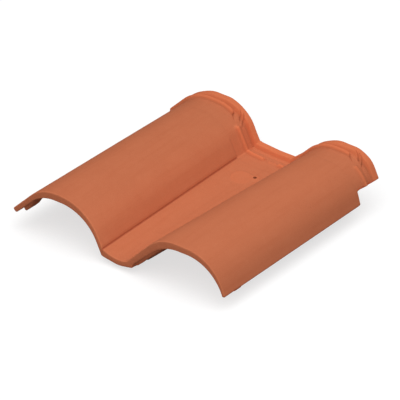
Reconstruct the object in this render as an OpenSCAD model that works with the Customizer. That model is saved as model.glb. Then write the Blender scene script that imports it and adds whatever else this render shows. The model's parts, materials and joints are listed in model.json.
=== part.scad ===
// Clay interlocking roof tile with two barrels and one pan, pressed and fired in one piece.
// Origin: centre of the footprint at the lowest face. X across, Y from tail to head, Z up.

/* [Overall] */

// Length from tail to head
tile_length = 430; // [340:1:520]
// Width over both barrels at the tail
tile_width = 451; // [370:1:545]

/* [Left barrel] */

// Width of the left barrel at the tail, edge to crease
left_span = 191.5; // [155:0.5:235]
// Height of the left crown above the drawing's zero, which is just above the crease
left_rise = 66.6; // [50:0.2:84]
// Top of the left edge above the zero
left_edge_height = 5.4; // [3:0.2:8]
// Radius of the left shoulder of a barrel
shoulder_radius = 76; // [55:1:95]
// Radius of the right side of the barrel at the tail
barrel_radius = 93; // [70:1:115]
// Slope of the flared left flanks, degrees from level
flare_angle = 46.3; // [40:0.1:54]
// Slope of the inner flank at the crease, degrees from level
crease_angle = 63.4; // [56:0.1:72]

/* [Pan] */

// Width of the pan at the zero level, at the tail
pan_span = 59; // [50:0.5:74]
// Depth of the crease
crease_depth = 4.4; // [3:0.2:6]
// Depth of the pan's first bend at the tail
toe_depth = 10.2; // [8:0.2:12]
// Depth of the pan's first bend at the head
toe_depth_head = 7.2; // [6.4:0.2:9]
// Depth of the pan's lowest line at the tail
pan_depth = 13.8; // [11.6:0.2:16.6]
// Depth of the pan's lowest line at the head
pan_depth_head = 9.6; // [9.2:0.2:11.6]
// Depth of the pan's last bend, at the foot of the right barrel, at the tail
heel_depth = 10.5; // [8.6:0.1:12.5]
// Depth of the pan's last bend at the head
heel_depth_head = 9; // [7.4:0.1:9.5]

/* [Right barrel] */

// Height of the right crown above the zero
right_rise = 63.6; // [48:0.2:80]
// Radius of the right side of the right barrel at the tail
right_radius = 84; // [64:1:104]
// Slope of the right flank at the tail, degrees from level
right_flank_angle = 69; // [60:0.5:76]
// Slope of the right flank at the head, degrees from level
right_head_angle = 76; // [68:0.5:82]
// Right edge below the zero
right_edge_drop = 3.2; // [0:0.2:8]

/* [Taper toward the head] */

// Left barrel: how far its left flank moves in
left_taper = 23.5; // [15:0.5:30]
// Right barrel: how far its left flank moves in
right_taper = 33; // [24:0.5:40]
// How much the left crown drops at the head
left_crown_drop = 8; // [0:0.5:10]
// How much the right crown drops at the head
right_crown_drop = 2.5; // [0:0.5:10]
// Radius of the right side of the left barrel at the head
left_head_radius = 66; // [54:1:80]
// Radius of the right side of the right barrel at the head
right_head_radius = 60; // [50:1:72]

/* [Clay thickness] */

// Left flank
flank_clay = 9.4; // [7.5:0.1:12]
// Left crown
crown_clay = 15; // [12:0.1:18]
// Flank at the crease
crease_clay = 9.1; // [7.5:0.1:12]
// Pan, from the crease to its first bend
toe_clay = 14.5; // [12:0.1:17]
// Pan, from its first bend to its lowest line
pan_clay = 12; // [10:0.1:14]
// Pan, from its lowest line to its last bend
heel_clay = 11.6; // [9.6:0.1:13.6]
// Rise from the pan to the right barrel
rise_clay = 16.3; // [13.5:0.1:19]
// Right crown
right_crown_clay = 13.6; // [11:0.1:17]
// Right flank
edge_clay = 6.6; // [5.4:0.1:8.6]

/* [Head ribs] */

// Length of the sunk band at the head
head_band = 58; // [48:1:70]
// How deep the band is sunk
band_sink = 2; // [1:0.1:3]
// Height of the first rib above the sunk band
rib_a_height = 4.6; // [3:0.1:6]
// Height of the rim rib above the sunk band
rib_b_height = 7.2; // [5:0.1:9]
// Front of the first rib, from the head edge
rib_a_front = 28; // [24:0.5:34]
// Back of the first rib, from the head edge
rib_a_back = 21; // [18:0.5:23]
// Front of the rim rib, from the head edge
rib_b_front = 12.5; // [10:0.5:15]

/* [Edges and underside] */

// Left edge hangs this much lower at the lug between the tail lip and the channel's end
flange_drop = 9; // [4:0.5:12]
// Left edge hangs this much lower from the lug to the head
flange_rest = 2.5; // [1:0.5:4]
// Length of the tail lip on the left edge
tail_lip = 22.5; // [18:0.5:24.5]
// How far the clay of the rise is cut back behind the tail face
rise_rebate = 4; // [2:0.2:5]
// Length of that cut back clay, from the tail
rebate_length = 12; // [9:0.5:15]
// Start of the channel across the underside, from the tail
channel_start = 25; // [23:1:30]
// End of the channel across the underside, from the tail
channel_end = 48; // [40:1:58]
// Depth of the channel
channel_depth = 4; // [2:0.2:5]
// Length of the notch in the right edge at the head
notch_length = 53; // [42:1:64]
// Height of the notch
notch_height = 24; // [19:1:29]
// Height of the feet and nibs below the pan at the tail
foot_height = 6.4; // [5:0.2:8]
// Width of a foot rib
foot_width = 10; // [8:0.5:13]
// Length of a batten nib along the tile
nib_length = 17; // [13:0.5:21]
// Thicker root of a nib, all round
nib_root = 2; // [1:0.5:3]
// Width of a batten nib
nib_width = 26; // [20:1:31]
// Back face of the nibs from the head edge
nib_setback = 38; // [32:1:46]

/* [Nail hole] */

// Diameter of the nail hole
nail_diameter = 6; // [5:0.5:8]
// Nail hole from the head edge
nail_setback = 86; // [70:1:100]

/* [Colour] */

// Fired clay colour
clay_colour = "#C4714D";

/* [Hidden] */

// points on each round of the section, from its left edge to its right edge
steps = [1, 10, 14, 2, 5, 4, 6, 10, 14, 1];
left_round = 2;
dip_round = 5;
heel_round = 6;
right_shoulder = 7;
right_round = 8;
// extra points on the straight run after a round, as shares of the run, where the first rib
// breaks off in the pan
extra = [[], [], [], [], [0.84, 0.90], [0.06, 0.60, 0.68], [], [], [], []];
// number of a round's first point
function first_of(k) = k == 0 ? 0 : first_of(k - 1) + steps[k - 1] + len(extra[k - 1]);

right_edge = tile_width - left_span;
// crease and first bend of the pan across, from the left barrel's edge of the pan
crease_x = -1.2;
crease_round = 1;
toe_x = [12, 6];
toe_round = 30;
dip_x = [33, 45];
pan_round = 50;
heel_bend = 12;
// level of the pan's underside at the tail and of the floor that the tile rests on
pan_base = pan_depth + pan_clay;
foot_depth = pan_base + foot_height;
// length over which the left edge drops behind the lip, and over which the rebate runs out
lip_slope = 6;
// slope at the head end of the lug
lug_slope = 12;
rebate_slope = 3;
// half the length of the slope on each side of a rib
rib_slope = 0.8;
// a cut or a joined block reaches this much past the face it has to reach
reach = 5;
// feet: gap behind the channel, gap before the nibs, how far they go up into the pan, and
// their left sides, from the zero of the drawing and from the pan's right side
foot_gap = 4;
foot_to_nib = 80;
foot_root = 8;
left_foot_x = -1;
right_foot_in = 18;
// nibs: height of the root below the pan, the left nib's left side, and how far the right
// nib stands in from the pan's right side
nib_root_height = 1.6;
left_nib_x = 8;
right_nib_in = 16;
// how far the notch is cut in from the right edge, and the nail hole from the pan's right side
notch_reach = 45;
nail_in = 1;

// unit vector square to a run of the section, toward the underside
function under(p, q) = let (d = q - p) [d[1], -d[0]] / norm(d);

// corner of the underside for two runs of unequal thickness
function sunk(p, n, m, tn, tm) =
    let (det = n[0] * m[1] - n[1] * m[0])
    [p[0] + (tn * m[1] - tm * n[1]) / det, p[1] + (n[0] * tm - m[0] * tn) / det];

// length a round takes from each of its two runs
function bite(p, r, k) =
    let (u = p[k] - p[k - 1], w = p[k + 1] - p[k],
         turn = acos(min(1, (u * w) / (norm(u) * norm(w)))))
    r[k] * tan(turn / 2);

// radii made to fit the run between neighbouring rounds
function fit_radius(p, r, k, last) = (k == 0 || k == last) ? 0 :
    let (b = bite(p, r, k),
         before = k == 1 ? norm(p[1] - p[0]) / b
                  : norm(p[k] - p[k - 1]) / (b + bite(p, r, k - 1)),
         after = k == last - 1 ? norm(p[k + 1] - p[k]) / b
                 : norm(p[k + 1] - p[k]) / (b + bite(p, r, k + 1)))
    r[k] * min(1, 0.99 * before, 0.99 * after);

// points round one corner of the section
function round_at(p, r, k, n) = n == 1 ? [p[k]] :
    let (u = (p[k] - p[k - 1]) / norm(p[k] - p[k - 1]),
         w = (p[k + 1] - p[k]) / norm(p[k + 1] - p[k]),
         side = sign(u[0] * w[1] - u[1] * w[0]),
         turn = acos(min(1, u * w)),
         start = p[k] - u * r[k] * tan(turn / 2),
         centre = start + side * r[k] * [-u[1], u[0]],
         from = atan2(start[1] - centre[1], start[0] - centre[0]))
    [for (i = [0:n - 1]) let (a = from + side * turn * i / (n - 1))
        centre + r[k] * [cos(a), sin(a)]];

function section(p, r) =
    let (last = len(p) - 1,
         f = [for (k = [0:last]) fit_radius(p, r, k, last)],
         rounds = [for (k = [0:last]) round_at(p, f, k, steps[k])])
    [for (k = [0:last]) each concat(rounds[k],
        [for (e = extra[k]) let (a = rounds[k][steps[k] - 1], b = rounds[k + 1][0]) a + (b - a) * e])];

function mix(a, b, s) = a + (b - a) * s;

// corners of the upper face; s runs from 0 at the tail to 1 at the head
function top_corners(s) =
    let (lt = left_taper * s, rt = right_taper * s,
         lr = left_rise - left_crown_drop * s,
         rr = right_rise - right_crown_drop * s,
         heel = mix(heel_depth, heel_depth_head, s),
         mouth = pan_span + rt,
         run = (lr - left_edge_height) / tan(flare_angle),
         steep = mix(right_flank_angle, right_head_angle, s))
    [[-left_span + lt, left_edge_height],
     [-left_span + lt + run, lr],
     [crease_x - (lr + crease_depth) / tan(crease_angle), lr],
     [crease_x, -crease_depth],
     [mix(toe_x[0], toe_x[1], s), -mix(toe_depth, toe_depth_head, s)],
     [mix(dip_x[0], dip_x[1], s), -mix(pan_depth, pan_depth_head, s)],
     [mouth - heel / tan(flare_angle), -heel],
     [mouth + rr / tan(flare_angle), rr],
     [right_edge - (rr + right_edge_drop) / tan(steep), rr],
     [right_edge, -right_edge_drop]];

// radii of the upper face's rounds
function top_radii(s) =
    [0, shoulder_radius, mix(barrel_radius, left_head_radius, s), crease_round, toe_round,
     pan_round, heel_bend, shoulder_radius, mix(right_radius, right_head_radius, s), 0];

// radii of the underside's rounds, each larger than the round above it by its own amount
under_more = [0, -6, -9, 7, 10, 10, -2, 8, -4, 0];
function under_radii(s) = top_radii(s) + under_more;

// clay thickness of each run
run_clay = [flank_clay, crown_clay, crease_clay, toe_clay, pan_clay, heel_clay, rise_clay,
            right_crown_clay, edge_clay];
last_run = len(run_clay) - 1;

// corners of the underside, square below the top ones
function under_corners(p) =
    let (n = [for (k = [0:last_run]) under(p[k], p[k + 1])])
    [for (k = [0:last_run + 1])
        k == 0 ? p[0] + n[0] * run_clay[0] :
        k == last_run + 1 ? p[k] + n[last_run] * run_clay[last_run] :
        abs(n[k - 1] * n[k]) > 0.9999 ? p[k] + n[k] * run_clay[k] :
        sunk(p[k], n[k - 1], n[k], run_clay[k - 1], run_clay[k])];

// outward normal at point i of a section
function out_at(p, i) =
    let (a = p[max(0, i - 1)], b = p[min(len(p) - 1, i + 1)], d = b - a)
    [-d[1], d[0]] / norm(d);

// stations along the tile
stations = [0, rebate_length - rebate_slope / 2, rebate_length + rebate_slope / 2, tail_lip,
            channel_start, channel_start + 4, channel_end - 3, channel_end,
            channel_end + lug_slope, tile_length / 2,
            tile_length - head_band - 1, tile_length - head_band + 1,
            tile_length - rib_a_front - rib_slope, tile_length - rib_a_front + rib_slope,
            tile_length - rib_a_back - rib_slope, tile_length - rib_a_back + rib_slope,
            tile_length - rib_b_front - rib_slope, tile_length - rib_b_front + rib_slope,
            tile_length];

// height of the head ribs and the sunk band at distance d from the head edge
function relief(d, share, rim) =
    d > head_band ? 0 :
    d > rib_a_front ? -band_sink :
    d > rib_a_back ? rib_a_height * share - band_sink :
    d > rib_b_front ? -band_sink :
    rib_b_height * rim - band_sink;

// depth of the cross channel in the underside at distance y from the tail
function channel(y) = (y > channel_start + 2 && y < channel_end - 1) ? channel_depth : 0;

// cut in the clay of the rise behind the tail face: all of it on the run, less on its rounds
function rebate(y, i) = y > rebate_length ? 0 :
    let (h = i - first_of(heel_round), r = i - first_of(right_shoulder),
         share = h < 0 || r >= steps[right_shoulder] ? 0 :
                 r < 0 ? h / (steps[heel_round] - 1) : 1 - r / (steps[right_shoulder] - 1))
    rise_rebate * share;

// drop of the left edge at distance y from the tail: none at the lip, all of it at the lug
function hang(y) =
    flange_drop * min(1, max(0, (y - tail_lip) / lip_slope))
    - (flange_drop - flange_rest) * min(1, max(0, (y - channel_end) / lug_slope));

// share of its height that the first rib has: none at the right shoulder of each barrel
// nor at its break in the pan, and half from there to the foot of the right barrel
function rib_share(i) =
    let (l = i - first_of(left_round), d = i - first_of(dip_round), r = i - first_of(right_round))
    (l >= 8 && l <= 10) || (d >= -1 && d < steps[dip_round]) || r == 4 || r == 5 ? 0 :
    d >= steps[dip_round] && d < steps[dip_round] + 2 ? 0.5 : 1;

// the rim rib is lower toward the right edge
function rim_share(i) = i > first_of(right_round) + 8 ? 0.7 : 1;

// one section, turned into a closed ring: the upper face, then the underside from right to left
function ring(y) =
    let (s = y / tile_length,
         tops = top_corners(s),
         outer = section(tops, top_radii(s)),
         inner = section(under_corners(tops), under_radii(s)),
         n = len(outer))
    concat(
        [for (i = [0:n - 1])
            let (h = relief(tile_length - y, rib_share(i), rim_share(i)),
                 q = outer[i] + h * out_at(outer, i))
            [q[0], y, q[1] - (i == 0 ? hang(y) : 0)]],
        [for (j = [0:n - 1])
            let (i = n - 1 - j, h = channel(y) + rebate(y, i), q = inner[i] + h * out_at(inner, i))
            [q[0], y, q[1] - (i == 0 ? hang(y) : 0)]]);

module shell() {
    rings = [for (y = stations) ring(y)];
    m = len(rings[0]);
    c = len(rings);
    half = m / 2;
    walls = [for (j = [0:c - 2], i = [0:m - 1])
        let (a = j * m + i, b = j * m + (i + 1) % m)
        each [[a, a + m, b], [b, a + m, b + m]]];
    tail_face = [for (i = [0:half - 2])
        let (a = i, b = i + 1, u = m - 1 - i, v = m - 2 - i)
        each [[a, b, u], [b, v, u]]];
    f = (c - 1) * m;
    head_face = [for (i = [0:half - 2])
        let (a = f + i, b = f + i + 1, u = f + m - 1 - i, v = f + m - 2 - i)
        each [[a, u, b], [b, u, v]]];
    polyhedron(points = [for (r = rings) each r], faces = concat(walls, tail_face, head_face),
        convexity = 6);
}

// a foot rib that runs straight from x_tail to x_head
module foot(x_tail, x_head) {
    from = channel_end + foot_gap;
    to = tile_length - nib_setback - foot_to_nib;
    shift = (x_head - x_tail) / tile_length;
    translate([0, 0, -foot_depth])
        linear_extrude(height = foot_height + foot_root)
            polygon([[x_tail + shift * from, from],
                     [x_tail + foot_width + shift * from, from],
                     [x_tail + foot_width + shift * to, to],
                     [x_tail + shift * to, to]]);
}

// hook that hangs on the batten, with a thicker root
module nib(x) {
    hook = pan_depth_head + pan_clay + nib_root_height;
    y = tile_length - nib_setback - nib_length;
    translate([x, y, -foot_depth])
        cube([nib_width, nib_length, foot_depth - hook + 1]);
    translate([x - nib_root, y - nib_root, -hook])
        cube([nib_width + 2 * nib_root, nib_length + 2 * nib_root, nib_root_height + reach]);
}

module roof_tile() {
    color(clay_colour)
    translate([left_span - tile_width / 2, -tile_length / 2, foot_depth])
    difference() {
        union() {
            shell();
            foot(left_foot_x, left_foot_x);
            foot(pan_span - right_foot_in, pan_span - right_foot_in + right_taper);
            nib(left_nib_x);
            nib(pan_span + right_taper - right_nib_in - nib_width);
        }
        // notch in the right edge at the head
        translate([right_edge - notch_reach, tile_length - notch_length,
                   -right_edge_drop - foot_depth])
            cube([notch_reach + reach, notch_length + reach, notch_height + foot_depth]);
        // nail hole at the foot of the right barrel
        translate([pan_span - nail_in, tile_length - nail_setback, -foot_depth])
            cylinder(d = nail_diameter, h = foot_depth + reach, $fn = 48);
    }
}

roof_tile();
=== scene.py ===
# %% [markdown]
# # A fired clay roof tile with two barrels and one pan
#
# The real tile is one piece of clay. A slab is pressed between two moulds, dried, and fired
# once, so it is one closed solid with one finish. The press gives it soft arrises, a sunk
# band with two raised ribs at the head, where the next tile up laps over it, and nibs
# underneath that hang on the roof batten.
#
# We build it the same way: one section drawn at each end, one ruler along the length, and a
# Geometry Nodes tree that lofts the clay between them. The nibs, the foot ribs and the nail
# hole are then joined to it or cut from it.

# %% Start: load the frame
import json
import math

import bmesh
import bpy
import numpy as np
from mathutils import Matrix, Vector
from mathutils.bvhtree import BVHTree


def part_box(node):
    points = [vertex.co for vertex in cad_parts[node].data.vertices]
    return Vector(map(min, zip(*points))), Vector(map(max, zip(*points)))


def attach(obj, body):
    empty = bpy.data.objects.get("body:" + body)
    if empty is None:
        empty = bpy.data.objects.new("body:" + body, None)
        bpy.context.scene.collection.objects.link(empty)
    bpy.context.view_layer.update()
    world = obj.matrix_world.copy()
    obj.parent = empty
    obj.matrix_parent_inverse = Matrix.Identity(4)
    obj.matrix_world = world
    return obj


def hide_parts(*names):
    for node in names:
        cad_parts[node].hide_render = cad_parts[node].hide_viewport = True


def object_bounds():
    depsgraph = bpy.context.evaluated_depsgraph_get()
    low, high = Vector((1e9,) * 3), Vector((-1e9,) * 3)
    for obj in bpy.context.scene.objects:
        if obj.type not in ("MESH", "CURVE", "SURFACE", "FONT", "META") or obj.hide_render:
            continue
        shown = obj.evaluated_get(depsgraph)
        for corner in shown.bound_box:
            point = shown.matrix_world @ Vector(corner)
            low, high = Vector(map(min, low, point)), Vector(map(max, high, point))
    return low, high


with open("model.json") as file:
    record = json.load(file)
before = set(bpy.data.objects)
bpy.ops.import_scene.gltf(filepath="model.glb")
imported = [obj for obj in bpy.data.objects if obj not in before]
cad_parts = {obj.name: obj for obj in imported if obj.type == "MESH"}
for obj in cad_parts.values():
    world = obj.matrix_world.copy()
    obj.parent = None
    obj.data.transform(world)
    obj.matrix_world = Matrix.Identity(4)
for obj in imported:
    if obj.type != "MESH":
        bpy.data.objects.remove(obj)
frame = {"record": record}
cad_lo, cad_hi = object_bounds()
tile_lo, tile_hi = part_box("roof_tile")
print("frame box in mm:", [round(1000 * v, 1) for v in (*cad_lo, *cad_hi)])

# %% [markdown]
# ## Three helpers
#
# Clay colours are given as sRGB hex values, as from a colour chart, but Blender works with
# linear light, so one function converts them. Every node tree below is built with one other
# function, which adds a node, sets its settings and makes its links. The third puts a new
# object into the scene.

# %% Helpers: colour, nodes and objects
def linear(hex_colour):
    """A linear RGBA colour from an sRGB hex value."""
    channels = [int(hex_colour[k:k + 2], 16) / 255 for k in (1, 3, 5)]
    return [c / 12.92 if c <= 0.04045 else ((c + 0.055) / 1.055) ** 2.4 for c in channels] + [1.0]


def add(tree, kind, links=None, **settings):
    """Adds a node. links gives each input, by name or place, a value or the socket it reads."""
    node = tree.nodes.new(kind)
    for key, value in settings.items():
        setattr(node, key, value)
    for key, value in (links or {}).items():
        if isinstance(value, bpy.types.NodeSocket):
            tree.links.new(value, node.inputs[key])
        else:
            node.inputs[key].default_value = value
    return node


def placed(name, data):
    """A new object with this data, linked into the scene."""
    made = bpy.data.objects.new(name, data)
    bpy.context.scene.collection.objects.link(made)
    return made


print("terracotta in linear light:", [round(c, 3) for c in linear("#C4714D")])

# %% [markdown]
# ## The sizes of the press mould
#
# All sizes are in millimetres, as on the mould drawing, and turned to metres at the end.
# The section is drawn from the left crease at the tail: x to the right and z up. The length
# and width come from the frame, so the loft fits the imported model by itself. A pair of values
# is the size at the tail and at the head.

# %% Sizes
MM = 0.001
LENGTH = (tile_hi.y - tile_lo.y) / MM
WIDTH = (tile_hi.x - tile_lo.x) / MM

LEFT_SPAN = 191.5                    # left edge to the crease at the tail
RIGHT_EDGE = WIDTH - LEFT_SPAN
PAN_SPAN = 59                        # crease to the foot of the right barrel at the tail
LEFT_RISE, RIGHT_RISE = (66.6, 58.6), (63.6, 61.1)    # crown height of each barrel
CREASE = (-1.2, -4.4)                # where the left barrel meets the pan
TOE = ((12, -10.2), (6, -7.2))       # the pan's first bend
DIP = ((33, -13.8), (45, -9.6))      # the pan's lowest line
HEEL_DEPTH = (10.5, 9.0)             # where the pan turns up to the right barrel
TAPER = (23.5, 33)                   # how far the left and right barrel's flank moves in at the head
SHOULDER = 76                        # radius of the left shoulder of a barrel
LEFT_ROUND, RIGHT_ROUND = (93, 66), (84, 60)          # radius of each barrel's right side
CREASE_ROUND, TOE_ROUND, DIP_ROUND, HEEL_ROUND = 1.0, 30, 50, 12
FLARE, INNER = 46.3, 63.4            # slopes of the flared flank and the flank at the crease
STEEP = (69, 76)                     # slope of the right flank
EDGE_HEIGHT, EDGE_DROP = 5.4, 3.2    # left edge above, and right edge below, the crease's level
EDGE_OUT = 1.2                       # what the round arris takes off the left edge is put back
CLAY = [9.4, 15, 9.1, 14.5, 12, 11.6, 16.3, 13.6, 6.6]    # thickness of each run, left to right
UNDER_ROUNDER = [0, -6, -9, 7, 10, 10, -2, 8, -4, 0]      # underside radii less the upper ones
FOOT_DEPTH = 32.2                    # level of the drawing's zero above the ground

BAND = 58                            # length of the sunk band at the head
LIP, CHANNEL = 18, (25, 48)          # tail lip, and the cross channel underneath
NOTCH_LENGTH, NOTCH_LEVEL = 53, 24 - EDGE_DROP
ARRIS = 2.6                          # soft arris that a plaster press mould leaves
print("tile", round(WIDTH, 1), "x", round(LENGTH, 1), "mm, crease", FOOT_DEPTH, "mm up")

# %% [markdown]
# ## Drawing a section
#
# A mould maker draws the section as straight runs with a radius at each corner, and so do
# we. `corners` gives the corners of the upper face at any place along the tile, from 0 at
# the tail to 1 at the head. The underside is the same line moved square to itself by the
# thickness of each run, so the clay is thick at the crowns and thin at the edges.

# %% Section corners
def between(pair, share):
    """The value that lies this share of the way from the first of a pair to the second."""
    return pair[0] + (pair[1] - pair[0]) * share


def corners(share):
    """Corners of the upper face and the radius at each."""
    left_in, right_in = (taper * share for taper in TAPER)
    left_top, right_top = between(LEFT_RISE, share), between(RIGHT_RISE, share)
    depth, mouth = between(HEEL_DEPTH, share), PAN_SPAN + right_in
    toe, dip = (tuple(between(axis, share) for axis in zip(*ends)) for ends in (TOE, DIP))
    flare, inner, steep = (math.tan(math.radians(a)) for a in (FLARE, INNER, between(STEEP, share)))
    points = [(-LEFT_SPAN - EDGE_OUT + left_in, EDGE_HEIGHT - EDGE_OUT),
              (-LEFT_SPAN + left_in + (left_top - EDGE_HEIGHT) / flare, left_top),
              (CREASE[0] - (left_top - CREASE[1]) / inner, left_top),
              CREASE,
              toe,
              dip,
              (mouth - depth / flare, -depth),
              (mouth + right_top / flare, right_top),
              (RIGHT_EDGE - (right_top + EDGE_DROP) / steep, right_top),
              (RIGHT_EDGE, -EDGE_DROP)]
    radii = [0, SHOULDER, between(LEFT_ROUND, share), CREASE_ROUND, TOE_ROUND, DIP_ROUND,
             HEEL_ROUND, SHOULDER, between(RIGHT_ROUND, share), 0]
    return np.array(points, float), radii


def corners_under(share):
    """The same for the underside."""
    points, radii = corners(share)
    runs = np.diff(points, axis=0)
    down = np.column_stack([runs[:, 1], -runs[:, 0]]) / np.linalg.norm(runs, axis=1)[:, None]
    moved = [points[0] + down[0] * CLAY[0]]
    for k in range(1, len(points) - 1):
        moved.append(points[k] + np.linalg.solve(down[k - 1:k + 1], CLAY[k - 1:k + 1]))
    moved.append(points[-1] + down[-1] * CLAY[-1])
    return np.array(moved), [r + more for r, more in zip(radii, UNDER_ROUNDER)]


print("tail corners:", np.round(corners(0)[0], 1).tolist())

# %% [markdown]
# ## Rounding the corners
#
# Each corner is replaced by an arc that touches both of its runs. Where two arcs would
# overlap, both are made smaller, as a draughtsman does. The section comes back as a list of
# pieces, run, arc, run, arc, so that the same place on the tail and head sections always
# has the same number.

# %% Rounded section
FULL, ARC_POINTS = 0.99, 60            # how much of a run two arcs may take, and points on an arc


def unit(v):
    """The same direction with a length of one."""
    return v / np.linalg.norm(v)


def pieces_of(points, radii):
    """Finely drawn runs and arcs of a section, from its left edge to its right edge."""
    last = len(points) - 1
    ways = [unit(points[k + 1] - points[k]) for k in range(last)]
    gap = [np.linalg.norm(points[k + 1] - points[k]) for k in range(last)]
    turn = [math.acos(min(1, ways[k - 1] @ ways[k])) if 0 < k < last else 0 for k in range(last + 1)]
    bite = [r * math.tan(t / 2) for r, t in zip(radii, turn)]
    made, here = [], points[0]
    for k in range(1, last):
        fit = min(1, FULL * gap[k - 1] / (bite[k - 1] + bite[k]), FULL * gap[k] / (bite[k] + bite[k + 1]))
        came, goes, r = ways[k - 1], ways[k], radii[k] * fit
        side = np.sign(came[0] * goes[1] - came[1] * goes[0])
        start = points[k] - came * r * math.tan(turn[k] / 2)
        centre = start + side * r * np.array([-came[1], came[0]])
        first = math.atan2(start[1] - centre[1], start[0] - centre[0])
        angles = first + side * turn[k] * np.linspace(0, 1, ARC_POINTS)
        arc = centre + r * np.column_stack([np.cos(angles), np.sin(angles)])
        made += [np.array([here, start]), arc]
        here = arc[-1]
    made.append(np.array([here, points[-1]]))
    return made


def resample(path, count, lead=(0,), trail=(0,)):
    """Even points along a path, with given distances from its start and its end as well."""
    run = np.concatenate([[0], np.cumsum(np.linalg.norm(np.diff(path, axis=0), axis=1))])
    at = [*lead[:-1], *np.linspace(lead[-1], run[-1] - trail[0], count),
          *(run[-1] - t for t in trail[1:])]
    return np.column_stack([np.interp(at, run, path[:, k]) for k in (0, 1)]), np.array(at)


print("pieces in a section:", len(pieces_of(*corners(0))))

# %% [markdown]
# ## Numbering the places across the tile
#
# The last arc and run, at the right edge, are cut into two pieces at the level of the notch,
# so that one grid line lies exactly on the notch. Near each edge three extra lines stand
# close together, because the soft arris is bent there. The counts below set how fine the
# grid is: most lines go to the arcs and to the shoulders, where the ribs stop and start.

# %% Places across
COUNTS = [8, 22, 4, 68, 7, 4, 6, 6, 14, 8, 14, 8, 6, 22, 4, 56, 9]     # places on each piece
CREASE_ARC, CREASE_HALF = 5, 2.4       # the crease is piece 5, and its fine groove is 5 mm wide
SOFT = [0, 0.423, 0.732, 1.0]          # places that bend evenly round an arris
LEAD = [ARRIS * f for f in SOFT]
TRAIL = LEAD[::-1]


def cut_at_notch(runs):
    """The pieces with the right flank cut in two at the level of the notch."""
    flank = np.vstack([runs[-2], runs[-1][1:]])
    falling = np.arange(len(flank)) > np.argmax(flank[:, 1])
    below = int(np.argmax(falling & (flank[:, 1] < NOTCH_LEVEL)))
    a, b = flank[below - 1], flank[below]
    cut = a + (b - a) * (a[1] - NOTCH_LEVEL) / (a[1] - b[1])
    return runs[:-2] + [np.vstack([flank[:below], cut]), np.vstack([cut, flank[below:]])]


def place_points(points, radii):
    """Grid points across one section, the piece each lies on, and its share of that piece."""
    runs = cut_at_notch(pieces_of(points, radii))
    found, piece, share = [], [], []
    for k, (run, count) in enumerate(zip(runs, COUNTS)):
        lead = LEAD if k == 0 else (0, CREASE_HALF) if k == CREASE_ARC + 1 else (0,)
        trail = TRAIL if k >= len(runs) - 2 else (CREASE_HALF, 0) if k == CREASE_ARC - 1 else (0,)
        spots, at = resample(run, count, lead, trail)
        keep = slice(0 if k == 0 else 1, None)
        found.append(spots[keep])
        piece += [k] * len(spots[keep])
        share += list((at / at[-1])[keep])
    return np.vstack(found), np.array(piece), np.array(share)


tail_top, PIECE, SHARE = place_points(*corners(0))
tail_under, _, _ = place_points(*corners_under(0))
head_top, _, HEAD_SHARE = place_points(*corners(1))
head_under, _, _ = place_points(*corners_under(1))
ACROSS = len(tail_top)
CUT_AT = int(np.nonzero(PIECE == len(COUNTS) - 2)[0][-1])
print(ACROSS, "places across, the notch starts at place", CUT_AT, "of piece", PIECE[CUT_AT])

# %% [markdown]
# ## Where the ribs stand across the section
#
# The head ribs don't run all the way across. The first rib is made in two parts. Its crown
# part stands a little nearer the head and stops at the right shoulder of each barrel, to let
# water out. Its low part starts again on the flank, has a gap in the pan, and is lower from
# there to the foot of the right barrel. The rim rib runs all the way, but its height changes.
# Each relief gets one number at every place across, and another along the length. What it
# adds to the clay is its height times both, so a rib needs no outline of its own.

# %% Ribs across
def ramp(x, start, end):
    """0 at start, 1 at end, smooth between."""
    t = np.clip((np.asarray(x, float) - start) / (end - start), 0, 1)
    return t * t * (3 - 2 * t)


def window(x, start, end, soft):
    """1 from start to end, 0 outside, with a smooth slope of width soft at both."""
    return ramp(x, start - soft / 2, start + soft / 2) * (1 - ramp(x, end - soft / 2, end + soft / 2))


LEFT_ARC, PAN_START, HEEL, RISE_RUN, RIGHT_ARC = 3, 6, 11, 12, 15      # numbers of the pieces
on_left, on_right = PIECE == LEFT_ARC, PIECE == RIGHT_ARC              # the two right shoulders
on_flank = (PIECE > LEFT_ARC) & (PIECE < PAN_START)
on_pan = (PIECE >= PAN_START) & (PIECE <= HEEL)
on_rise, on_edge = PIECE == RISE_RUN, PIECE > RIGHT_ARC
on_barrels = (PIECE <= LEFT_ARC) | (PIECE > RISE_RUN) & (PIECE <= RIGHT_ARC)
left_shoulders = (PIECE == LEFT_ARC - 2) | (PIECE == RIGHT_ARC - 2)
crown_tops = (PIECE == LEFT_ARC - 1) | (PIECE == RIGHT_ARC - 1)
head_x = head_top[:, 0]                # mm from the crease, at the head


def shoulders(shape, left, right, *soft):
    """A ramp or window along the two right shoulders, with its own two places on each."""
    return on_left * shape(HEAD_SHARE, *left, *soft) + on_right * shape(HEAD_SHARE, *right, *soft)


RIB_STOPS = (0.47, 0.52), (0.16, 0.21)         # shares of the left and of the right arc
PAN_GAP, PAN_LOW, PAN_SOFT = (38, 45), (45, 67), 3
RIGHT_LOW = 0.75                               # the low part is lower on the right shoulder
crown_rib = on_barrels - shoulders(ramp, *RIB_STOPS) + on_rise * ramp(SHARE, 0.3, 0.5)
low_rib = on_left * ramp(HEAD_SHARE, 0.72, 0.82) + on_flank + on_rise * (1 - ramp(SHARE, 0, 0.3))
low_rib = low_rib + RIGHT_LOW * (on_right * ramp(HEAD_SHARE, 0.42, 0.52) + on_edge)
low_rib = low_rib + on_pan * (1 - window(head_x, *PAN_GAP, PAN_SOFT)
                              - 0.5 * window(head_x, *PAN_LOW, PAN_SOFT))

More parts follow.
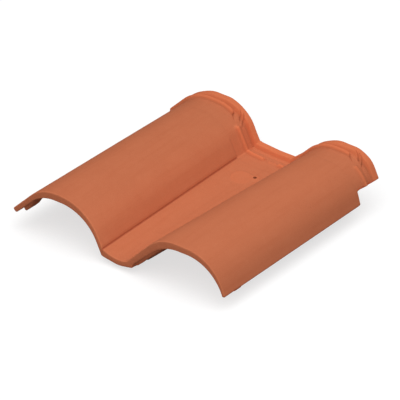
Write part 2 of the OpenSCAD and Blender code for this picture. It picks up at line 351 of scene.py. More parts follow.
EDGE_RIM, CROWN_RIM, SHOULDER_RIM, FLANK_RIM, PAN_RIM = 0.65, 1.05, 1.3, 1.25, 1.4
rim_rib = EDGE_RIM * ((PIECE == 0) | on_edge) + FLANK_RIM * on_flank + PAN_RIM * on_pan
rim_rib = rim_rib + on_rise * between((PAN_RIM, EDGE_RIM), SHARE) + CROWN_RIM * crown_tops
rim_rib = rim_rib + left_shoulders * between((EDGE_RIM, CROWN_RIM), ramp(HEAD_SHARE, 0.4, 1))
rim_rib = rim_rib + (on_left | on_right) * between((CROWN_RIM, SHOULDER_RIM), ramp(HEAD_SHARE, 0, 0.25))
rim_rib = rim_rib - on_right * (SHOULDER_RIM - EDGE_RIM) * ramp(HEAD_SHARE, 0.5, 0.9)
print("places under the first rib:", int((crown_rib + low_rib > 0.5).sum()))

# %% [markdown]
# ## Where the grooves and the underside's shapes are
#
# Between the ribs there is a shelf, and a groove that drains it. At each right shoulder two
# slots and a pit are cut on the slant. Underneath there is the cross channel, the rebate that
# is cut back behind the tail of the rise, and the lug at the left edge. The last list isn't a
# shape: it says where the clay gets painted bounce light, on the flank and in the pan.

# %% Grooves and underside across
SHELF_FADES, GROOVE_STARTS = ((0.45, 0.85), (0.3, 0.8)), ((0.82, 0.9), (0.45, 0.6))
PITS, CUT_SOFT = ((0.51, 0.56), (0.215, 0.265)), 0.03
SLOTS = [((0.615, 0.660), (0.315, 0.360)), ((0.725, 0.775), (0.425, 0.475))]
shelf = (on_barrels | on_rise) - shoulders(ramp, *SHELF_FADES)
shelf = np.maximum(shelf, 0.5 + 0.5 * on_pan)
groove = shoulders(ramp, *GROOVE_STARTS) + (on_flank | on_edge)
groove = groove + 0.2 * on_pan * (1 - ramp(head_x, 4, 36))
pit = shoulders(window, *PITS, CUT_SOFT)
slot = sum(shoulders(window, *places, CUT_SOFT) for places in SLOTS)
crease = (PIECE == CREASE_ARC).astype(float)
crease[int(np.argmax(crease)) - 1] = 1.0       # the arc's first point closes the run before it
band = 0.3 + 0.4 * on_flank + 0.4 * on_left * ramp(HEAD_SHARE, 0.8, 1)
channel = 1 - (PIECE == 0) - (PIECE == 1) * (1 - ramp(SHARE, 0.3, 0.8))
rebate = (PIECE == HEEL) * SHARE + on_rise + (PIECE == RISE_RUN + 1) * (1 - SHARE)
rebate = rebate * (1.5 - 0.6 * (on_rise * SHARE + (PIECE > RISE_RUN)))
lug = (PIECE == 0) * (1 - ramp(SHARE, 0.32, 0.6))
# painted bounce light: a lighter tone on the left barrel's right shoulder, the flank, the pan and the
# rise, for the light the pan throws on them
washed = on_left * ramp(SHARE, 0.3, 0.95) + on_flank + 0.5 * on_pan + 0.5 * on_rise * (1 - SHARE)
print("places in the slots and pits:", int((slot + pit > 0.5).sum()))

# %% [markdown]
# ## The ruler along the tile
#
# The stations along the length are the other half of the grid. They stand far apart where
# the tile is plain and just under a millimetre apart at the ribs. Each station also says how
# much of each relief it has. Most places are given from the head, because the ribs, the band
# and the notch keep their distance from it when a tile is made longer.

# %% Stations along
NOTCH_AT = LENGTH - NOTCH_LENGTH
stations = np.unique(np.round(np.concatenate([
    LEAD, [4.5, 7, 10, 13.5], np.linspace(LIP - 1.5, LIP + 6, 5),
    np.linspace(CHANNEL[0], CHANNEL[0] + 5, 6), np.linspace(CHANNEL[0] + 8, CHANNEL[1] - 7, 3),
    np.linspace(CHANNEL[1] - 4, CHANNEL[1] + 1, 6), np.arange(CHANNEL[1] + 6, LENGTH - 123, 7),
    np.arange(LENGTH - 121, LENGTH - 74, 1.9), [LENGTH - 70, LENGTH - 66],
    np.linspace(LENGTH - BAND - 3, LENGTH - BAND + 3, 6),
    [NOTCH_AT - t for t in TRAIL], [NOTCH_AT + t for t in LEAD],
    np.arange(NOTCH_AT + 6, LENGTH - 40, 2.5), np.arange(LENGTH - 38.5, LENGTH - 4, 0.9),
    [LENGTH - t for t in TRAIL]]), 3))
ALONG = len(stations)
NOTCH_STATION = int(np.argmin(abs(stations - NOTCH_AT)))
from_head = LENGTH - stations
LUG_LEFT = 0.28                        # how much of the lug's drop goes on to the head
along = {
    "band": 1 - ramp(from_head, BAND - 3, BAND + 3),
    "crown_rib": window(from_head, 18.5, 24, 3.5),
    "low_rib": window(from_head, 28.5, 36, 5),
    "rim_rib": 1 - ramp(from_head, 11, 16.5),
    "shelf": window(from_head, 13, 21, 4),
    "groove": window(from_head, 14.5, 23, 4),
    "pit": window(from_head, 18, 27, 3),
    "slot": window(from_head, 9, 19.5, 3),
    "crease": ramp(from_head, BAND - 2, BAND + 3),
    "channel": window(stations, CHANNEL[0] + 2, CHANNEL[1] - 1.5, 3.5),
    "rebate": 1 - ramp(stations, 10.5, 13.5),
    "lug": ramp(stations, LIP + 4, LIP + 9)
           * between((1, LUG_LEFT), ramp(stations, CHANNEL[1], CHANNEL[1] + 12)),
}
print(ALONG, "stations, the notch starts at station", NOTCH_STATION)

# %% [markdown]
# ## Drawing the sections and the ruler as objects
#
# The tree has to read these numbers, so they become small meshes of loose points. One holds
# the four section lines, upper face and underside at the tail and at the head. The second
# holds the stations, with the relief numbers on both as named attributes. The third holds
# the eight layers from the underside to the upper face. A layer's x says which face it
# follows, its y how many arris radii it lies from that face, and its z how deep it is in the
# arris.

# %% Section, ruler and layer objects
def point_object(name, points, attributes):
    """An object of loose points with a named number at each."""
    mesh = bpy.data.meshes.new(name)
    mesh.from_pydata([tuple(float(c) for c in point) for point in points], [], [])
    for key, values in attributes.items():
        numbers = mesh.attributes.new(key, "FLOAT", "POINT")
        numbers.data.foreach_set("value", np.asarray(values, np.float32))
    return placed(name, mesh)


def in_frame(points):
    """Section points in metres, in the frame: x across and z up."""
    return [(MM * (x + LEFT_SPAN - WIDTH / 2), 0, MM * (z + FOOT_DEPTH)) for x, z in points]


steps = np.linalg.norm(np.diff(tail_top, axis=0), axis=1)
from_left = np.concatenate([[0], np.cumsum(steps)])
to_cut = from_left[CUT_AT] - from_left
FAR = 1000                             # mm, for places that lie past the notch's line
across = {
    "band": band, "crown_rib": crown_rib, "low_rib": low_rib, "rim_rib": rim_rib,
    "shelf": shelf, "groove": groove, "pit": pit, "slot": slot, "crease": crease,
    "channel": channel, "rebate": rebate, "lug": lug, "washed": washed,
    "from_left": MM * from_left, "to_right": MM * (from_left[-1] - from_left),
    "to_cut": MM * np.where(to_cut >= 0, to_cut, FAR),
}
four_lines = [q for line in (tail_top, tail_under, head_top, head_under) for q in in_frame(line)]
sections = point_object("section_lines", four_lines, {k: np.tile(v, 4) for k, v in across.items()})
ruler = point_object("ruler", [(0, MM * (y - LENGTH / 2), 0) for y in stations], along)
LAYERS = [(0, f, 1 - f) for f in SOFT] + [(1, -f, 1 - f) for f in SOFT[::-1]]
layers = point_object("layers", LAYERS, {})
print(len(four_lines), "section points,", ALONG, "ruler points,", len(LAYERS), "layers")

# %% [markdown]
# ## The loft, step 1: a blank of clay
#
# The tree starts with a flat grid with one square for each step across and along. The
# squares of the notch are deleted, and the sheet is thickened into eight layers by
# extruding it, with a flipped copy closing the bottom. At this stage the blank is measured in
# steps, not in metres: its x is the place across, its y the station, its z the layer.
#
# The sizes of the relief are inputs of the tree, so they can be tried out on the modifier.

# %% Inputs of the tree
tree = bpy.data.node_groups.new("pressed_tile", "GeometryNodeTree")
tree.is_modifier = True
sockets = tree.interface
sockets.new_socket("Geometry", in_out="OUTPUT", socket_type="NodeSocketGeometry")
sockets.new_socket("Geometry", in_out="INPUT", socket_type="NodeSocketGeometry")
SIZES_MM = {
    "Arris radius": ARRIS, "Band depth": 2.0, "First rib height": 5.0, "Rim rib height": 7.2,
    "Shelf height": 2.2, "Groove depth": 1.3, "Slot depth": 2.4, "Pit depth": 1.2,
    "Crease depth": 1.1, "Pad height": 1.2, "Channel depth": 4.0, "Rebate depth": 4.0,
    "Lug drop": 9.0, "Warp": 0.35,
}
INPUTS = [("Section lines", "NodeSocketObject", sections), ("Ruler", "NodeSocketObject", ruler),
          ("Layers", "NodeSocketObject", layers), ("Clay", "NodeSocketMaterial", None),
          *((name, "NodeSocketFloat", size * MM) for name, size in SIZES_MM.items()),
          ("Seed", "NodeSocketFloat", 7.0)]
for name, kind, _ in INPUTS:
    sockets.new_socket(name, in_out="INPUT", socket_type=kind)
given = add(tree, "NodeGroupInput").outputs
MATH, VECTOR = "ShaderNodeMath", "ShaderNodeVectorMath"
print("inputs of the tree:", len(INPUTS))

# %% Blank
grid = add(tree, "GeometryNodeMeshGrid", {"Size X": ACROSS - 1.0, "Size Y": ALONG - 1.0,
                                          "Vertices X": ACROSS, "Vertices Y": ALONG})
corner = add(tree, "GeometryNodeTransform",
             {"Geometry": grid.outputs["Mesh"],
              "Translation": ((ACROSS - 1) / 2, (ALONG - 1) / 2, 0)})
spot = add(tree, "ShaderNodeSeparateXYZ", {0: add(tree, "GeometryNodeInputPosition").outputs[0]})
past_cut = add(tree, MATH, {0: spot.outputs["X"], 1: float(CUT_AT)}, operation="GREATER_THAN")
past_wall = add(tree, MATH, {0: spot.outputs["Y"], 1: float(NOTCH_STATION)}, operation="GREATER_THAN")
in_notch = add(tree, MATH, {0: past_cut.outputs[0], 1: past_wall.outputs[0]}, operation="MULTIPLY")
sheet = add(tree, "GeometryNodeDeleteGeometry",
            {"Geometry": corner.outputs[0], "Selection": in_notch.outputs[0]}, domain="FACE")
bottom = add(tree, "GeometryNodeFlipFaces", {"Mesh": sheet.outputs[0]})
block, top_faces = sheet.outputs[0], True
for _ in range(len(LAYERS) - 1):
    lifted = add(tree, "GeometryNodeExtrudeMesh",
                 {"Mesh": block, "Selection": top_faces, "Offset": (0, 0, 1),
                  "Offset Scale": 1.0, "Individual": False}, mode="FACES")
    block, top_faces = lifted.outputs["Mesh"], lifted.outputs["Top"]
both = add(tree, "GeometryNodeJoinGeometry", {0: bottom.outputs[0]})
tree.links.new(block, both.inputs[0])
blank = add(tree, "GeometryNodeMergeByDistance", {"Geometry": both.outputs[0], "Distance": 0.01})
print("blank:", ACROSS, "x", ALONG, "x", len(LAYERS), "points before the notch is cut")

# %% [markdown]
# ## The loft, step 2: reading the drawing
#
# For every point of the blank the tree looks up the point with the same number on the four
# section lines, and the station and layer with its own numbers.

# %% Look-ups
place, station, layer = (add(tree, MATH, {0: spot.outputs[axis]}, operation="ROUND").outputs[0]
                         for axis in "XYZ")
shapes = {key: add(tree, "GeometryNodeObjectInfo", {"Object": given[key]}).outputs["Geometry"]
          for key in ("Section lines", "Ruler", "Layers")}
at_point = add(tree, "GeometryNodeInputPosition").outputs[0]


def lookup(shape, index, what=None, offset=0):
    """A value of one of the drawing objects at a numbered point: its position, or an attribute."""
    kind, value = "FLOAT_VECTOR", at_point
    if what:
        kind = "FLOAT"
        value = add(tree, "GeometryNodeInputNamedAttribute", {"Name": what}, data_type=kind).outputs[0]
    if offset:
        index = add(tree, MATH, {0: index, 1: float(offset)}, operation="ADD").outputs[0]
    return add(tree, "GeometryNodeSampleIndex",
               {"Geometry": shapes[shape], "Value": value, "Index": index},
               data_type=kind, domain="POINT", clamp=True).outputs[0]


ruler_at = add(tree, "ShaderNodeSeparateXYZ", {0: lookup("Ruler", station)}).outputs["Y"]
layer_at = add(tree, "ShaderNodeSeparateXYZ", {0: lookup("Layers", layer)})
upper = layer_at.outputs["X"]          # 1 on the layers that follow the upper face
print("nodes so far:", len(tree.nodes))

# %% [markdown]
# ## The loft, step 3: bending the arrises
#
# A point that is closer than the arris radius to an edge belongs to the soft arris. Its
# distances from the side edge, from the end and from the face make a small vector. Drawing
# that vector back to the length of the radius bends the square edge into a round one. The
# notch is an edge too, so its own distances are used beyond the notch.

# %% Distances to the edges
radius = given["Arris radius"]
notch_y = MM * (NOTCH_AT - LENGTH / 2)
beyond = add(tree, MATH, {0: station, 1: NOTCH_STATION + 0.5}, operation="GREATER_THAN").outputs[0]
on_tab = add(tree, MATH, {0: place, 1: CUT_AT - 0.5}, operation="GREATER_THAN").outputs[0]
side_right = add(tree, "ShaderNodeMix", {0: beyond, 2: lookup("Section lines", place, "to_right"),
                                         3: lookup("Section lines", place, "to_cut")}).outputs[0]
side_left = lookup("Section lines", place, "from_left")
side = add(tree, MATH, {0: side_left, 1: side_right}, operation="MINIMUM").outputs[0]
near_left = add(tree, MATH, {0: side_left, 1: side_right}, operation="LESS_THAN").outputs[0]
end_y = add(tree, "ShaderNodeMix", {0: on_tab, 2: float(tile_hi.y), 3: notch_y}).outputs[0]
to_head = add(tree, MATH, {0: end_y, 1: ruler_at}, operation="SUBTRACT").outputs[0]
from_tail = add(tree, MATH, {0: ruler_at, 1: float(tile_lo.y)}, operation="SUBTRACT").outputs[0]
end = add(tree, MATH, {0: to_head, 1: from_tail}, operation="MINIMUM").outputs[0]
near_tail = add(tree, MATH, {0: from_tail, 1: to_head}, operation="LESS_THAN").outputs[0]
print("notch wall at", round(notch_y / MM, 1), "mm along the frame")

# %% Arrises
depths = []
for distance in (side, end):
    short = add(tree, MATH, {0: radius, 1: distance}, operation="SUBTRACT").outputs[0]
    depths.append(add(tree, MATH, {0: short, 1: 0.0}, operation="MAXIMUM").outputs[0])
depths.append(add(tree, MATH, {0: layer_at.outputs["Z"], 1: radius}, operation="MULTIPLY").outputs[0])
reach = add(tree, "ShaderNodeCombineXYZ", dict(enumerate(depths))).outputs[0]
reach_length = add(tree, VECTOR, {0: reach}, operation="LENGTH").outputs["Value"]
safe = add(tree, MATH, {0: reach_length, 1: radius}, operation="MAXIMUM").outputs[0]
kept = add(tree, MATH, {0: radius, 1: safe}, operation="DIVIDE").outputs[0]
shrink = add(tree, MATH, {0: 1.0, 1: kept}, operation="SUBTRACT").outputs[0]
pull = add(tree, VECTOR, {0: reach, "Scale": shrink}, operation="SCALE").outputs[0]
pull = add(tree, "ShaderNodeSeparateXYZ", {0: pull})
print("arris radius", ARRIS, "mm")

# %% [markdown]
# ## The loft, step 4: the two faces
#
# The ends pull the station a little inward first. Then each face is mixed between its tail
# line and its head line. The relief will be laid on square to the face, so the tree also
# works out which way is up there, from the places just before and after.

# %% Faces
end_sign = add(tree, MATH, {0: near_tail, 1: 2.0, 2: -1.0}, operation="MULTIPLY_ADD").outputs[0]
y = add(tree, MATH, {0: end_sign, 1: pull.outputs["Y"], 2: ruler_at},
        operation="MULTIPLY_ADD").outputs[0]
part = add(tree, "ShaderNodeMapRange", {"Value": y, "From Min": float(tile_lo.y),
                                        "From Max": float(tile_hi.y)}, clamp=False).outputs[0]
after = add(tree, MATH, {0: place, 1: 1.0}, operation="ADD").outputs[0]
after = add(tree, MATH, {0: after, 1: ACROSS - 1.0}, operation="MINIMUM").outputs[0]
before = add(tree, MATH, {0: place, 1: 1.0}, operation="SUBTRACT").outputs[0]
before = add(tree, MATH, {0: before, 1: 0.0}, operation="MAXIMUM").outputs[0]


def mixed(line, index=place):
    """A point of the upper face (line 0) or the underside (line 1) at a place across."""
    at_tail = lookup("Section lines", index, None, line * ACROSS)
    at_head = lookup("Section lines", index, None, (line + 2) * ACROSS)
    return add(tree, "ShaderNodeMix", {0: part, 4: at_tail, 5: at_head},
               data_type="VECTOR", clamp_factor=False).outputs[1]


def face_normal(line):
    """The direction along the section and the direction square to it, upward."""
    run = add(tree, VECTOR, {0: mixed(line, after), 1: mixed(line, before)},
              operation="SUBTRACT").outputs[0]
    run = add(tree, VECTOR, {0: run}, operation="NORMALIZE").outputs[0]
    up = add(tree, VECTOR, {0: run, 1: (0, 1, 0)}, operation="CROSS_PRODUCT").outputs[0]
    return run, up


top_run, top_up = face_normal(0)
_, under_up = face_normal(1)
print("nodes so far:", len(tree.nodes))

# %% [markdown]
# ## The loft, step 5: the relief
#
# The height of each relief is its size times its number across times its number along, and
# the reliefs are added up. The slots and the pits are cut on the slant, so they are looked up
# at a place that slides along with the station. Two round pads in the pan are flat discs on
# the plan: one is plain, and the nail hole goes through the other.

# %% Relief
SLANT = 1.4                            # places across for each mm along


def slanted(pivot):
    """Whole and part of a place that slides across, and is its own pivot mm from the head."""
    slide = add(tree, MATH, {0: ruler_at, 1: MM * (LENGTH / 2 - pivot)},
                operation="SUBTRACT").outputs[0]
    slid = add(tree, MATH, {0: slide, 1: SLANT / MM, 2: place}, operation="MULTIPLY_ADD").outputs[0]
    return [add(tree, MATH, {0: slid}, operation=kind).outputs[0] for kind in ("FLOOR", "FRACT")]


slides = {"slot": slanted(14), "pit": slanted(23)}


def relief(terms, total=0.0):
    """The sum of size x share across x share along, added to what is there."""
    for key, size, sign in terms:
        here = lookup("Section lines", place, key)
        if key in slides:
            whole, rest = slides[key]
            here = add(tree, "ShaderNodeMix", {0: rest, 2: lookup("Section lines", whole, key),
                                               3: lookup("Section lines", whole, key, 1)}).outputs[0]
        both_ways = add(tree, MATH, {0: here, 1: lookup("Ruler", station, key)},
                        operation="MULTIPLY").outputs[0]
        sized = add(tree, MATH, {0: both_ways, 1: given[size]}, operation="MULTIPLY").outputs[0]
        total = add(tree, MATH, {0: sized, 1: float(sign), 2: total},
                    operation="MULTIPLY_ADD").outputs[0]
    return total


def disc(x, y_middle, size, soft=1.3):
    """1 inside a disc of the given radius on the plan, 0 outside. All in mm."""
    middle = (MM * (x + LEFT_SPAN - WIDTH / 2), MM * (y_middle - LENGTH / 2), 0)
    only_x = add(tree, VECTOR, {0: mixed(0), 1: (1, 0, 0)}, operation="MULTIPLY").outputs[0]
    only_y = add(tree, "ShaderNodeCombineXYZ", {"Y": ruler_at}).outputs[0]
    flat = add(tree, VECTOR, {0: only_x, 1: only_y}, operation="ADD").outputs[0]
    far = add(tree, VECTOR, {0: flat, 1: middle}, operation="DISTANCE").outputs["Value"]
    return add(tree, "ShaderNodeMapRange",
               {"Value": far, "From Min": MM * (size + soft), "From Max": MM * (size - soft)},
               interpolation_type="SMOOTHSTEP").outputs[0]


PLAIN_PAD, NAIL_PAD = (38, LENGTH - 98, 19), (58, LENGTH - 86, 9)      # x, y and radius
pads = add(tree, MATH, {0: disc(*PLAIN_PAD), 1: disc(*NAIL_PAD)}, operation="MAXIMUM").outputs[0]
padded = add(tree, MATH, {0: pads, 1: given["Pad height"]}, operation="MULTIPLY").outputs[0]
top_relief = relief([("band", "Band depth", -1), ("crown_rib", "First rib height", 1),
                     ("low_rib", "First rib height", 1), ("rim_rib", "Rim rib height", 1),
                     ("shelf", "Shelf height", 1), ("groove", "Groove depth", -1),
                     ("slot", "Slot depth", -1), ("pit", "Pit depth", -1),
                     ("crease", "Crease depth", -1)], padded)
under_relief = relief([("channel", "Channel depth", 1), ("rebate", "Rebate depth", 1)])
under = add(tree, MATH, {0: 1.0, 1: upper}, operation="SUBTRACT").outputs[0]
hang = relief([("lug", "Lug drop", -1)])
hang = add(tree, MATH, {0: hang, 1: under}, operation="MULTIPLY").outputs[0]     # underside only
print("nodes so far:", len(tree.nodes))

# %% [markdown]
# ## The loft, step 6: the finished position
#
# The underside and the upper face are blended by layer, and the side arris pulls the edge
# inward along the section. A distance from a face is turned to a share of the thickness, so
# the layers near a face stay beside it while the clay between gets thicker or thinner.

# %% Position
top_at = add(tree, VECTOR, {0: top_up, "Scale": top_relief}, operation="SCALE").outputs[0]
top_at = add(tree, VECTOR, {0: mixed(0), 1: top_at}, operation="ADD").outputs[0]
under_at = add(tree, VECTOR, {0: under_up, "Scale": under_relief}, operation="SCALE").outputs[0]
under_at = add(tree, VECTOR, {0: mixed(1), 1: under_at}, operation="ADD").outputs[0]
thick = add(tree, VECTOR, {0: top_at, 1: under_at}, operation="DISTANCE").outputs["Value"]
inward = add(tree, MATH, {0: upper, 1: -2.0, 2: 1.0}, operation="MULTIPLY_ADD").outputs[0]
rise = add(tree, MATH, {0: layer_at.outputs["Y"], 1: radius}, operation="MULTIPLY").outputs[0]
rise = add(tree, MATH, {0: inward, 1: pull.outputs["Z"], 2: rise},
           operation="MULTIPLY_ADD").outputs[0]
level = add(tree, MATH, {0: rise, 1: thick}, operation="DIVIDE").outputs[0]
level = add(tree, MATH, {0: level, 1: upper}, operation="ADD").outputs[0]
body_at = add(tree, "ShaderNodeMix", {0: level, 4: under_at, 5: top_at}, data_type="VECTOR",
              clamp_factor=False).outputs[1]
side_sign = add(tree, MATH, {0: near_left, 1: 2.0, 2: -1.0}, operation="MULTIPLY_ADD").outputs[0]
side_pull = add(tree, MATH, {0: side_sign, 1: pull.outputs["X"]}, operation="MULTIPLY").outputs[0]
moved = add(tree, VECTOR, {0: top_run, "Scale": side_pull}, operation="SCALE").outputs[0]
moved = add(tree, VECTOR, {0: body_at, 1: moved}, operation="ADD").outputs[0]
lengthways = add(tree, "ShaderNodeCombineXYZ", {"Y": y, "Z": hang}).outputs[0]
moved = add(tree, VECTOR, {0: moved, 1: lengthways}, operation="ADD").outputs[0]
print("nodes so far:", len(tree.nodes))

# %% [markdown]
# ## The loft, step 7: marks for the finish
#
# The finish follows the shape, so each point gets four numbers for the material to read: how
# near it is to an arris, how far it stands above or below the plain surface, how much painted
# shade it gets, and how much painted bounce light it gets. The painted shade darkens the slots,
# the pits and the crease, where shade falls, and the lower right edge, which faces down into
# shade. It is given as a depth, with its share of each groove's own depth.

# %% Marks
# painted shade: the crease, the slots and the pits are darkened by this share of their depth, where shade
# falls
PAINTED_SHADE_SHARES = {"crease": 0.8, "slot": 0.24, "pit": 0.5}
# painted shade along the lower right edge, which faces down into shade: its width and depth
SHADED_EDGE_WIDTH, SHADED_EDGE_DEPTH = 1.2 * ARRIS * MM, 1.2 * MM
arris = add(tree, MATH, {0: reach_length, 1: radius}, operation="DIVIDE").outputs[0]
arris = add(tree, "ShaderNodeMapRange", {"Value": arris, "From Min": 1.0, "From Max": 1.4}).outputs[0]
dust = relief([(key, key.capitalize() + " depth", share) for key, share in PAINTED_SHADE_SHARES.items()])
marks = {"arris": arris}
for key, value in (("stand", top_relief), ("dust", dust),
                   ("washed", lookup("Section lines", place, "washed"))):
    marks[key] = add(tree, MATH, {0: value, 1: upper}, operation="MULTIPLY").outputs[0]
# painted shade on the lower right edge
painted_edge_shade = add(tree, "ShaderNodeMapRange", {"Value": side_right, "From Min": SHADED_EDGE_WIDTH,
                                        "From Max": 0.0, "To Max": SHADED_EDGE_DEPTH}).outputs[0]
marks["dust"] = add(tree, MATH, {0: marks["dust"], 1: painted_edge_shade}, operation="MAXIMUM").outputs[0]
marked = blank.outputs[0]
for key, value in marks.items():
    marked = add(tree, "GeometryNodeStoreNamedAttribute",
                 {"Geometry": marked, "Name": key, "Value": value},
                 data_type="FLOAT", domain="POINT").outputs[0]
print("marks on the clay:", list(marks))

# %% [markdown]
# ## The loft, step 8: firing
#
# The blank takes its finished position, and a very small slow noise warps it, because no
# fired tile is quite true. It warps most in height. Then it is shaded smooth and gets its clay.

# %% Firing
pressed = add(tree, "GeometryNodeSetPosition", {"Geometry": marked, "Position": moved})
slow = add(tree, "ShaderNodeTexNoise",
           {"Vector": add(tree, "GeometryNodeInputPosition").outputs[0],
            "Scale": 9.0, "Detail": 1.0, "W": given["Seed"]}, noise_dimensions="4D")
slow = add(tree, VECTOR, {0: slow.outputs["Color"], 1: (0.5, 0.5, 0.5)}, operation="SUBTRACT")
slow = add(tree, VECTOR, {0: slow.outputs[0], 1: (0.5, 0.5, 1.0)}, operation="MULTIPLY")
slow = add(tree, VECTOR, {0: slow.outputs[0], "Scale": given["Warp"]}, operation="SCALE")
fired = add(tree, "GeometryNodeSetPosition",
            {"Geometry": pressed.outputs[0], "Offset": slow.outputs[0]})
smooth = add(tree, "GeometryNodeSetShadeSmooth", {"Geometry": fired.outputs[0], "Shade Smooth": True})
real = add(tree, "GeometryNodeRealizeInstances", {"Geometry": smooth.outputs[0]})
painted = add(tree, "GeometryNodeSetMaterial", {"Geometry": real.outputs[0], "Material": given["Clay"]})
add(tree, "NodeGroupOutput", {"Geometry": painted.outputs[0]})
print("tree finished with", len(tree.nodes), "nodes and", len(tree.links), "links")

# %% [markdown]
# ## The finish: fired clay, pressed, no glaze
#
# Fired terracotta is rough and porous: light goes a little way in and comes out orange, and
# there is hardly any gloss. What the eye reads is a slow change of tone from the kiln, about
# 60 mm across, a cloudy mottle of about 12 mm, faint streaks along the tile from the slab,
# and the grain of the clay. The real grit is 0.2 to 0.5 mm, which is too fine to show, so
# the grain is drawn at 1.2 mm and the dark specks of iron at 2.2 mm.

# %% Clay patterns
KILN_MM, MOTTLE_MM, STREAK_MM, GRAIN_MM, SPECK_MM = 60, 12, 9, 1.2, 2.2
clay = bpy.data.materials.new("terracotta_fired_clay")
clay.use_nodes = True
paint = clay.node_tree
paint.nodes.clear()
coordinates = add(paint, "ShaderNodeTexCoord").outputs["Object"]


def pattern(size_mm, detail, stretch=(1, 1, 1), roughness=0.55):
    """A noise whose patches are size_mm across, stretched along the tile if asked."""
    mapped = add(paint, "ShaderNodeMapping", {"Vector": coordinates, "Scale": stretch})
    return add(paint, "ShaderNodeTexNoise",
               {"Vector": mapped.outputs[0], "Scale": 1000 / size_mm, "Detail": float(detail),
                "Roughness": roughness}).outputs[0]


def spread(value, low, high, to=1.0, base=0.0):
    """value run from low to high, turned to base up to base + to."""
    return add(paint, "ShaderNodeMapRange", {"Value": value, "From Min": low, "From Max": high,
                                             "To Min": base, "To Max": base + to}).outputs[0]


kiln, mottle, grain = pattern(KILN_MM, 2), pattern(MOTTLE_MM, 3), pattern(GRAIN_MM, 2)
streak = pattern(STREAK_MM, 2, (1, 0.06, 1))
speck = add(paint, "ShaderNodeTexVoronoi",
            {"Vector": coordinates, "Scale": 1000 / SPECK_MM}).outputs["Distance"]
speck = add(paint, "ShaderNodeMath",
            {0: spread(speck, 0.22, 0.10), 1: spread(kiln, 0.35, 0.75, 0.5)},
            operation="MULTIPLY").outputs[0]
print("patterns in mm:", KILN_MM, MOTTLE_MM, STREAK_MM, GRAIN_MM, SPECK_MM)

# %% [markdown]
# ## The colours of the clay
#
# The colours are laid on as glazes are, one over another: each has a hex colour, what it
# follows, where that starts and ends, and how strongly it covers. First the patterns, then
# the marks from the shape. Arrises rub a little lighter. What stands above the plain surface
# gets a painted highlight, lighter and redder, for the light the ribs throw at each other;
# what lies below it is a little duller. Painted shade keeps the crease, the slots, the pits,
# the nail hole and the lower right edge dark. The flank and the pan get painted bounce light
# and end up a sixth brighter.

# %% Clay colours
marked_at = {key: add(paint, "ShaderNodeAttribute", attribute_name=key).outputs["Fac"]
             for key in marks}
COATS = [
    ("#AE5E3E", kiln, 0.35, 0.65, 0.14),
    ("#C07656", mottle, 0.45, 0.75, 0.16),
    ("#AB5939", streak, 0.52, 0.75, 0.20),
    ("#A15033", grain, 0.55, 0.80, 0.40),
    ("#C87D5A", grain, 0.42, 0.25, 0.28),
    ("#743D2C", speck, 0.0, 1.0, 1.0),
    ("#CF7B56", marked_at["arris"], 0.0, 1.0, 0.45),
    # painted highlight: what stands above the plain surface, ribs, shelf and pads, is lighter and redder,
    # for the light the ribs throw at each other
    ("#CE6F49", marked_at["stand"], 0.3 * MM, 4.2 * MM, 0.85),
    ("#C06846", marked_at["stand"], -0.6 * MM, -2 * MM, 0.25),
    # painted shade: the crease, slots, pits, nail hole and lower right edge are darker
    ("#8A3D27", marked_at["dust"], 0.1 * MM, 1.0 * MM, 0.75),
]
PAINTED_BOUNCE_BRIGHTER = 0.16
tone = add(paint, "ShaderNodeRGB").outputs[0]
tone.default_value = linear("#B96A49")
for hex_colour, follows, low, high, cover in COATS:
    tone = add(paint, "ShaderNodeMix",
               {0: spread(follows, low, high, cover), 6: tone, 7: linear(hex_colour)},
               data_type="RGBA").outputs[2]
# painted bounce light: the flank and the pan end up a sixth brighter
bright = spread(marked_at["washed"], 0.0, 1.0, PAINTED_BOUNCE_BRIGHTER, 1.0)
tone = add(paint, "ShaderNodeVectorMath", {0: tone, "Scale": bright}, operation="SCALE").outputs[0]
print("coats of colour:", len(COATS))

# %% [markdown]
# ## The surface of the clay
#
# Fired clay has almost no shine, so the gloss is kept very low and the roughness high, and
# the mottle varies it. The grain, the mottle and the drag streaks are also felt as bump, a
# few tenths of a millimetre deep.

# %% Clay surface
surface = add(paint, "ShaderNodeBsdfPrincipled",
              {"Base Color": tone, "IOR": 1.5, "Specular IOR Level": 0.08,
               "Roughness": spread(mottle, 0.0, 1.0, 0.16, 0.78)})
BUMPS = [(grain, 0.35, 0.25), (mottle, 0.5, 0.4), (streak, 0.4, 0.3)]      # strength, depth in mm
felt = {}
for height, strength, depth in BUMPS:
    bump = add(paint, "ShaderNodeBump", {"Height": height, "Strength": strength,
                                         "Distance": depth * MM, **felt})
    felt = {"Normal": bump.outputs[0]}
paint.links.new(felt["Normal"], surface.inputs["Normal"])
add(paint, "ShaderNodeOutputMaterial", {"Surface": surface.outputs[0]})
print("clay material with", len(paint.nodes), "nodes")

# %% [markdown]
# ## Pressing the tile
#
# The modifier's inputs are set by the identifier of each socket, before the object is first
# evaluated. Then the result is made a plain mesh and the modifier goes, and the three
# drawings go with it.

# %% Pressing
def made_plain(body):
    """Gives an object what its modifiers make as a plain mesh, and takes them away."""
    evaluated = body.evaluated_get(bpy.context.evaluated_depsgraph_get())
    result = bpy.data.meshes.new_from_object(evaluated)
    body.modifiers.clear()
    old, body.data = body.data, result
    bpy.data.meshes.remove(old)


tile = placed("clay_tile", bpy.data.meshes.new("clay_tile"))
press = tile.modifiers.new("press", "NODES")
press.node_group = tree
values = {name: value for name, _, value in INPUTS}
values["Clay"] = clay
for item in tree.interface.items_tree:
    if item.name in values:
        press[item.identifier] = values[item.name]
made_plain(tile)
for drawing in (sections, ruler, layers):
    bpy.data.objects.remove(drawing)
size = [round(v / MM, 1) for v in tile.dimensions]
print("pressed:", len(tile.data.vertices), "points,", len(tile.data.polygons), "faces,", size, "mm")

